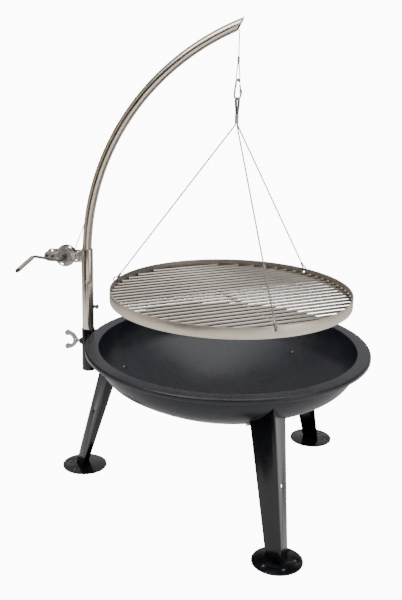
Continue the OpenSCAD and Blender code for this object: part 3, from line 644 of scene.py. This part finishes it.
def build_stage():
    """A pale floor that curves up into a wall behind the object."""
    size, reach, rise, top = 14.0, 3.4, 2.6, 9.0
    points, faces = [], []
    curve = [math.pi / 2 * i / 24 for i in range(25)]
    rows = [(-size, 0.0)]
    rows += [(reach + rise * math.sin(a), rise - rise * math.cos(a)) for a in curve]
    rows += [(reach + rise, top)]
    for y, z in rows:
        points += [(-size, y, z), (size, y, z)]
    for i in range(len(rows) - 1):
        faces.append([2 * i, 2 * i + 1, 2 * i + 3, 2 * i + 2])
    mesh = mesh_from("floor", points, faces)
    mesh.shade_smooth()
    floor = bpy.data.objects.new("floor", mesh)
    bpy.context.scene.collection.objects.link(floor)
    floor.rotation_euler.z = HEADING
    s = Shade("floor_paper", 0, 0.9, (0.5, 0.5, 0.5))
    s.surface.inputs["Emission Color"].default_value = (1, 1, 1, 1)
    seen = s.node("ShaderNodeLightPath").outputs["Is Camera Ray"]
    mirrored = s.node("ShaderNodeLightPath").outputs["Is Glossy Ray"]
    split = s.node("ShaderNodeSeparateXYZ")
    s.link(s.place, split.inputs[0])
    near = s.ranged(split.outputs[1], -0.6, 1.6, 0.5, 0.26)
    glow = s.math("ADD", s.math("MULTIPLY", seen, FLOOR_TO_CAMERA),
                  s.math("MULTIPLY", mirrored, near))
    s.link(glow, s.surface.inputs["Emission Strength"])
    mottle = s.ranged(s.noise(2.0, 2), 0.3, 0.7, 0, 1)
    s.colour(s.blend(mottle, (0.49, 0.49, 0.49), (0.51, 0.51, 0.51)))
    mesh.materials.append(s.material)


def build_camera():
    ahead = Vector((-math.sin(HEADING) * math.cos(PITCH), math.cos(HEADING) * math.cos(PITCH),
                    -math.sin(PITCH)))
    right = Vector((math.cos(HEADING), math.sin(HEADING), 0))
    up = right.cross(ahead)
    right_rolled = right * math.cos(ROLL) + up * math.sin(ROLL)
    up_rolled = up * math.cos(ROLL) - right * math.sin(ROLL)
    data = bpy.data.cameras.new("camera")
    data.lens = LENS
    data.sensor_width = 36
    data.clip_end = 60
    cam = bpy.data.objects.new("camera", data)
    place = bowl_axis + CAMERA_FROM_BOWL
    turn = Matrix((right_rolled, up_rolled, -ahead)).transposed()
    cam.matrix_world = Matrix.Translation(place) @ turn.to_4x4()
    bpy.context.scene.collection.objects.link(cam)
    bpy.context.scene.camera = cam


def area_light(name, place, target, size, power, colour=(1, 1, 1)):
    data = bpy.data.lights.new(name, "AREA")
    data.shape = "RECTANGLE"
    data.size, data.size_y = size
    data.energy = power
    data.color = colour
    obj = bpy.data.objects.new(name, data)
    obj.location = place
    obj.rotation_euler = (Vector(target) - Vector(place)).to_track_quat("-Z", "Y").to_euler()
    bpy.context.scene.collection.objects.link(obj)
    return obj


def card(name, place, target, size, colour, strength):
    """A board that is seen only in reflections."""
    across, up = size[0] / 2, size[1] / 2
    mesh = mesh_from(name, [(-across, -up, 0), (across, -up, 0), (across, up, 0), (-across, up, 0)],
                     [[0, 1, 2, 3]])
    material = bpy.data.materials.new(name)
    material.use_nodes = True
    surface = material.node_tree.nodes["Principled BSDF"]
    surface.inputs["Base Color"].default_value = (0, 0, 0, 1)
    surface.inputs["Specular IOR Level"].default_value = 0
    surface.inputs["Emission Color"].default_value = (*colour, 1)
    surface.inputs["Emission Strength"].default_value = strength
    mesh.materials.append(material)
    obj = bpy.data.objects.new(name, mesh)
    obj.location = place
    obj.rotation_euler = (Vector(target) - Vector(place)).to_track_quat("Z", "Y").to_euler()
    bpy.context.scene.collection.objects.link(obj)
    for kind in ("camera", "diffuse", "transmission", "volume_scatter", "shadow"):
        setattr(obj, "visible_" + kind, False)


def build_cards():
    post = (post_axis.x, post_axis.y, 0.6)
    card("card_dark", (-1.9, 1.0, 0.9), post, (1.5, 2.6), (0.20, 0.13, 0.09), 0.45)
    card("card_beige", (-2.0, -1.0, 0.8), post, (1.3, 2.4), (1.0, 0.86, 0.70), 0.55)
    card("card_front", (-1.3, -2.4, 0.7), (0.2, -0.3, 0.3), (3.4, 1.7), (0.10, 0.12, 0.16), 0.08)
    card("card_floor", (-1.1, -2.5, 0.012), (-1.1, -2.5, 5), (1.6, 1.2), (0.10, 0.12, 0.16), 0.08)
    card("card_green", (1.6, 1.3, 1.1), post, (1.6, 1.2), (0.62, 0.68, 0.58), 0.38)


def build_light():
    target = (0, 0, 0.5)
    area_light("key", (-1.4, -2.2, 3.4), target, (2.6, 2.0), 95)
    area_light("top", (0.3, 0.5, 3.8), (0, 0, 0.4), (3.2, 3.2), 100)
    area_light("fill", (3.0, -1.2, 1.4), target, (1.6, 2.2), 26, (1, 0.98, 0.95))
    area_light("rim", (2.2, 3.0, 2.2), target, (2.0, 2.0), 40).visible_glossy = False


def build_world():
    """Light from all round, which the camera sees as near white."""
    world = bpy.data.worlds.new("studio")
    world.use_nodes = True
    bpy.context.scene.world = world
    tree = world.node_tree
    back = tree.nodes["Background"]
    coord = tree.nodes.new("ShaderNodeTexCoord")
    split = tree.nodes.new("ShaderNodeSeparateXYZ")
    ramp = tree.nodes.new("ShaderNodeValToRGB")
    tree.links.new(coord.outputs["Generated"], split.inputs[0])
    tree.links.new(split.outputs[2], ramp.inputs[0])
    ramp.color_ramp.elements[0].position = 0.0
    ramp.color_ramp.elements[0].color = (0.52, 0.50, 0.48, 1)
    ramp.color_ramp.elements[1].position = 0.75
    ramp.color_ramp.elements[1].color = (1, 1, 1, 1)
    tree.links.new(ramp.outputs[0], back.inputs["Color"])
    white = tree.nodes.new("ShaderNodeBackground")
    white.inputs["Strength"].default_value = WORLD_TO_CAMERA
    mix = tree.nodes.new("ShaderNodeMixShader")
    light_path = tree.nodes.new("ShaderNodeLightPath")
    seen, mirrored = light_path.outputs["Is Camera Ray"], light_path.outputs["Is Glossy Ray"]
    strength = tree.nodes.new("ShaderNodeMapRange")
    strength.inputs["To Min"].default_value = WORLD_LIGHT
    strength.inputs["To Max"].default_value = WORLD_IN_REFLECTIONS
    tree.links.new(mirrored, strength.inputs["Value"])
    tree.links.new(strength.outputs["Result"], back.inputs["Strength"])
    tree.links.new(seen, mix.inputs[0])
    tree.links.new(back.outputs[0], mix.inputs[1])
    tree.links.new(white.outputs[0], mix.inputs[2])
    tree.links.new(mix.outputs[0], tree.nodes["World Output"].inputs["Surface"])


build_camera()
build_stage()
build_cards()
build_light()
build_world()


# ---- post, arm and winch ----

def build_post():
    softened("lower_post", "arm", mat["post"], 0.4 * MM)
    softened("gallows_arm", "arm", mat["arm"], 0.35 * MM, angle=50)
    softened("arm_screw", "arm", mat["plate"], 0.3 * MM)
    softened("tool_peg", "arm", mat["dark"], 0.4 * MM)
    softened("winch_saddle", "arm", mat["plate"], 0.5 * MM)
    softened("winch_bracket", "arm", mat["plate"], 0.4 * MM)
    softened("bracket_screws", "arm", mat["zinc"], 0.25 * MM)
    softened("tie_bolts", "arm", mat["dark"], 0.35 * MM)
    softened("tie_spacers", "arm", mat["zinc"], 0.3 * MM)
    softened("winch_drum", "crank", mat["plate"], 0.35 * MM)
    softened("ratchet_wheel", "crank", mat["ratchet"], 0.2 * MM)
    softened("axle_nuts", "crank", mat["dark"], 0.5 * MM)
    softened("grip_cap", "crank", mat["dark"], 0.8 * MM, segments=3)
    softened("crank_rod", "crank", mat["dark"], 0.8 * MM, angle=50, segments=3)
    softened("crank_grip", "grip", mat["grip"], 1.4 * MM, segments=4)
    softened("ratchet_pawl", "pawl", mat["ratchet"], 0.35 * MM)


build_post()


def build_hanger():
    softened("snap_hook", "grate", mat["zinc"], 0.25 * MM, angle=55)
    softened("gate_rivet", "grate", mat["zinc"], 0.15 * MM)
    softened("snap_hook_gate", "gate", mat["zinc"], 0.3 * MM)
    ring = softened("grate_ring", "grate", mat["ring"], 0.6 * MM)
    # painted shade: faces turned towards the hanging axis take the darker copy of the ring steel
    ring.data.materials.append(mat["inside"])
    for face in ring.data.polygons:
        inwards = hang_axis - Vector((face.center.x, face.center.y, 0))
        if face.normal.dot(inwards.normalized()) > 0.5:
            face.material_index = 1
    softened("grate_rods", "grate", mat["rods"], 0.4 * MM)
    softened("grate_cross_bar", "grate", mat["rods"], 0.4 * MM)
    softened("wing_screw", "clamp_screw", mat["cast"], 0.9 * MM, segments=3)


build_hanger()


# ---- wire ropes and their pressed sleeves ----

WEST = Vector((-1, 0, 0))
EYE_YAW = -32
SLEEVE_R, CRIMP_R = 3.6 * MM, 5.4 * MM
WIRE_GAP = 0.3 * MM


def on_hang_axis(z):
    return Vector((hang_axis.x, hang_axis.y, z))


def hoist_arc():
    """The rope's centre line along the inside of the bend and down over the tube's cut end."""
    reach = hang_axis.x - post_axis.x
    over = 4 * MM
    tip_guess = math.radians(66.4)
    arc = arc_r - (arc_bore - rope_r - WIRE_GAP)
    tip = math.acos((arc_r - reach + over * (1 + math.cos(tip_guess))) / arc)
    path = bend(arc_centre, WEST, UP, arc, 20, math.degrees(tip), 60)
    centre = path[-1] + Vector((math.cos(tip), 0, -math.sin(tip))) * over
    path += bend(centre, WEST, UP, over, math.degrees(tip), 180, 10)[1:]
    return path + [path[-1] - UP * 2 * MM]


def off_the_drum(leave):
    """The point where the straight run touches the coil on the drum."""
    across, rise = (leave - axle).dot(-winch_out), leave.z - axle.z
    a = math.atan2(rise, across) - math.acos(wrap_r / math.hypot(across, rise))
    return axle - winch_out * (wrap_r * math.cos(a)) + UP * (wrap_r * math.sin(a))


def drum_coil(parts):
    """The coil on the drum, as one helix."""
    turns, per_turn, pitch = 6, 48, 2.8 * MM
    steps = turns * per_turn
    path = []
    for i in range(steps + 1):
        a = TAU * i / per_turn
        path.append(axle + axle_dir * (pitch * turns * (i / steps - 0.5))
                    + (winch_out * math.cos(a) + UP * math.sin(a)) * wrap_r)
    rope(parts, path, 1.4 * MM, 0.9 * MM)


def plane_at(degrees):
    a = math.radians(degrees)
    return Vector((math.cos(a), math.sin(a), 0))


def loop_path(base, across, foot, half, low, high, down):
    """A long eye of rope: from the sleeve out to the round end and back. Heights from base."""
    far = low if down else high
    near = high if down else low
    sign = -1 if down else 1
    turn = far - sign * half
    leg = []
    for i in range(13):
        t = i / 12
        x = foot + (half - foot) * (3 * t ** 2 - 2 * t ** 3) ** 0.8
        leg.append((x, near + (turn - near) * t))
    arc = [(half * math.cos(math.radians(a)), turn + sign * half * math.sin(math.radians(a)))
           for a in range(12, 180, 12)]
    outline = leg + arc + [(-x, z) for x, z in leg[::-1]]
    return [base + across * x + UP * z for x, z in outline]


def pressed_sleeve(parts, base, axis, r, length, pinches):
    """A sleeve pressed on to the rope: rounded ends and shallow grooves."""
    edge, dip, width = 0.8 * MM, 0.4 * MM, 1.0 * MM
    profile = [(0, 0)]
    for i in range(61):
        z = length * i / 60
        size = r - max(0, edge - min(z, length - z)) ** 2 / edge
        size -= dip * sum(math.exp(-((z - length * c) / width) ** 2) for c in pinches)
        profile.append((z, size))
    turned(parts, base, axis, profile + [(length, 0)])


def finished(parts, name, body, key, nodes, sharp=50):
    return add_object(name, parts.mesh(name), body, mat[key], replaces=nodes,
                      sharp=sharp)


def build_hoist_rope():
    arc = hoist_arc()
    parts = Parts()
    rope(parts, [off_the_drum(arc[0])] + arc, rope_r, 0.9 * MM)
    finished(parts, "hoist_line", "arm", "rope", ["hoist_rope"])
    parts = Parts()
    drum_coil(parts)
    finished(parts, "drum_coil", "crank", "rope", ["drum_rope"])
    parts = Parts()
    low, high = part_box("rope_drop")
    foot = on_hang_axis(low.z)
    head = on_hang_axis(high.z)
    rope(parts, [foot + UP * 0.05 * MM, head], rope_r, 0.9 * MM)
    obj = bpy.data.objects.new("hanging_line", parts.mesh("hanging_line"))
    bpy.context.scene.collection.objects.link(obj)
    obj.data.shade_smooth()
    obj.data.materials.append(mat["rope"])
    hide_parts("rope_drop")
    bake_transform(obj)


def build_rope_end():
    parts = Parts()
    low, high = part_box("hoist_ferrule")
    pressed_sleeve(parts, on_hang_axis(low.z), UP, SLEEVE_R, high.z - low.z, (0.28, 0.5, 0.72))
    finished(parts, "hoist_sleeve", "rope_end", "crimp", ["hoist_ferrule"])
    parts = Parts()
    low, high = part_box("rope_eye")
    half = 6.5 * MM
    rope(parts, loop_path(on_hang_axis(0), plane_at(EYE_YAW), rope_r + 0.1 * MM, half,
                          low.z + rope_r, high.z + 0.5 * MM, True), rope_r, 0.7 * MM)
    finished(parts, "rope_loop", "rope_end", "rope", ["rope_eye"])


def build_hanger_ropes():
    base = on_hang_axis(0)
    low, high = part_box("hanger_crimp")
    parts = Parts()
    pressed_sleeve(parts, base + UP * low.z, UP, CRIMP_R, high.z - low.z,
                   (0.18, 0.39, 0.61, 0.82))
    finished(parts, "hanger_sleeve", "grate", "crimp", ["hanger_crimp"])
    parts = Parts()
    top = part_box("hanger_eyes")[1].z - 1.7 * MM
    foot_gap, half, fan, eye_wire_r = 3.2 * MM, 6 * MM, 26, 1.65 * MM
    for turn in (-fan, 0, fan):
        rope(parts, loop_path(base, plane_at(EYE_YAW + turn), foot_gap, half, high.z - 0.5 * MM,
                              top, False), eye_wire_r, 0.7 * MM)
    finished(parts, "hanger_loops", "grate", "rope", ["hanger_eyes"])
    sleeves, loops = Parts(), Parts()
    eye_bend, leg_gap = 7 * MM, 1.7 * MM
    hole_top = ring_top - ring_hole_drop + ring_hole_r
    for k, angle in enumerate(leg_angles):
        out = Vector((math.cos(angle), math.sin(angle), 0))
        eye = (base + out * (ring_r - ring_t / 2)
               + UP * (hole_top - hanger_r - WIRE_GAP + eye_bend))
        head = base + out * 2.6 * MM + UP * (low.z - 1.4 * MM)
        along = (head - eye).normalized()
        side = along.cross(out.cross(UP)).normalized()
        foot = eye + along * (eye_bend + hanger_r + 0.1 * MM)
        pressed_sleeve(sleeves, foot, along, SLEEVE_R, 15 * MM, (0.3, 0.5, 0.7))
        angles = [math.radians(a) for a in range(24, 342, 12)]
        ring = [eye + (along * math.cos(a) + side * math.sin(a)) * eye_bend for a in angles]
        path = [foot + side * leg_gap] + ring + [foot - side * leg_gap]
        rope(loops, path, hanger_r - 0.05 * MM, 0.7 * MM)
        parts = Parts()
        rope(parts, [foot + along * 14 * MM, head], hanger_r, 1.1 * MM)
        finished(parts, f"hanger_line_{k + 1}", "grate", "rope", [f"hanger_wire_{k + 1}"])
    finished(sleeves, "hanger_sleeves", "grate", "crimp", ["wire_ferrules"])
    finished(loops, "ring_loops", "grate", "rope", ["wire_eyes"])


build_hoist_rope()
build_rope_end()
build_hanger_ropes()


# ---- welds and threads ----

def build_grate_welds():
    """Beads where the rods meet the ring, and where they cross the bar under them."""
    parts = Parts()
    ring_in = ring_r - ring_t
    along = Vector((math.cos(bar_angle), math.sin(bar_angle), 0))
    side = UP.cross(along)
    centre = Vector((hang_axis.x, hang_axis.y, bar_z))
    count = int((ring_in - 2 * bar_r) / bar_pitch)
    hug = bar_r + 0.5 * MM
    for i in range(-count, count + 1):
        y = i * bar_pitch
        half = math.sqrt((ring_in - 0.2 * MM) ** 2 - (abs(y) + bar_r) ** 2)
        for end in (-1, 1):
            path = []
            for degrees in range(-30, 211, 20):
                a = math.radians(degrees)
                w = y + hug * math.cos(a)
                wall = math.sqrt(ring_in ** 2 - w ** 2) - 1.0 * MM
                path.append(centre + along * (end * min(wall, half + 2 * MM)) + side * w
                            + UP * (hug * math.sin(a)))
            bead(parts, path, 1.5 * MM)
        for edge in (-1, 1):
            at = centre + side * (y + edge * 1.05 * bar_r) - UP * 0.85 * bar_r
            bead(parts, [at - along * 4 * MM, at + along * 4 * MM], 1.2 * MM)
    finished(parts, "grate_welds", "grate", "weld", [])


def build_socket_welds():
    """Painted beads between socket and bracket, and round the nut on the socket."""
    parts = Parts()
    plate_half, nut_r = 12 * MM, 10.2 * MM
    low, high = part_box("sleeve_bracket")
    for side in (-1, 1):
        x = post_axis.x + math.sqrt(socket_r ** 2 - plate_half ** 2)
        at = Vector((x, post_axis.y + side * (plate_half + 0.6 * MM), 0))
        bead(parts, [at + UP * (low.z + 2 * MM), at + UP * (high.z - 3 * MM)], 1.7 * MM)
    screw = joint_place("clamp_turn")
    path = []
    for degrees in range(0, 361, 12):
        a = math.radians(degrees)
        y, z = nut_r * math.cos(a), nut_r * math.sin(a)
        path.append(Vector((post_axis.x - math.sqrt(socket_r ** 2 - y ** 2) - 0.2 * MM,
                            post_axis.y + y, screw.z + z)))
    bead(parts, path, 1.5 * MM)
    finished(parts, "socket_welds", "stand", "leg", [])


def build_threads():
    screw = joint_place("clamp_turn")
    parts = Parts()
    start = Vector((post_axis.x - 17.4 * MM, screw.y, screw.z))
    thread(parts, start, WEST, r=5.15 * MM, pitch=1.5 * MM, length=19.6 * MM)
    finished(parts, "wing_screw_thread", "clamp_screw", "zinc", [], 40)
    parts = Parts()
    crown_z = bowl_low.z + crown_r
    lean = math.asin(bolt_circle_r / crown_r)
    for angle in leg_angles:
        out = Vector((math.cos(angle), math.sin(angle), 0))
        axis = (out * math.sin(lean) - UP * math.cos(lean)).normalized()
        base = bowl_axis + UP * crown_z + axis * (crown_r + 12.2 * MM)
        thread(parts, base, axis, r=4.15 * MM, pitch=1.25 * MM, length=4.6 * MM)
    finished(parts, "leg_bolt_threads", "stand", "zinc", [], 40)


build_grate_welds()
build_socket_welds()
build_threads()
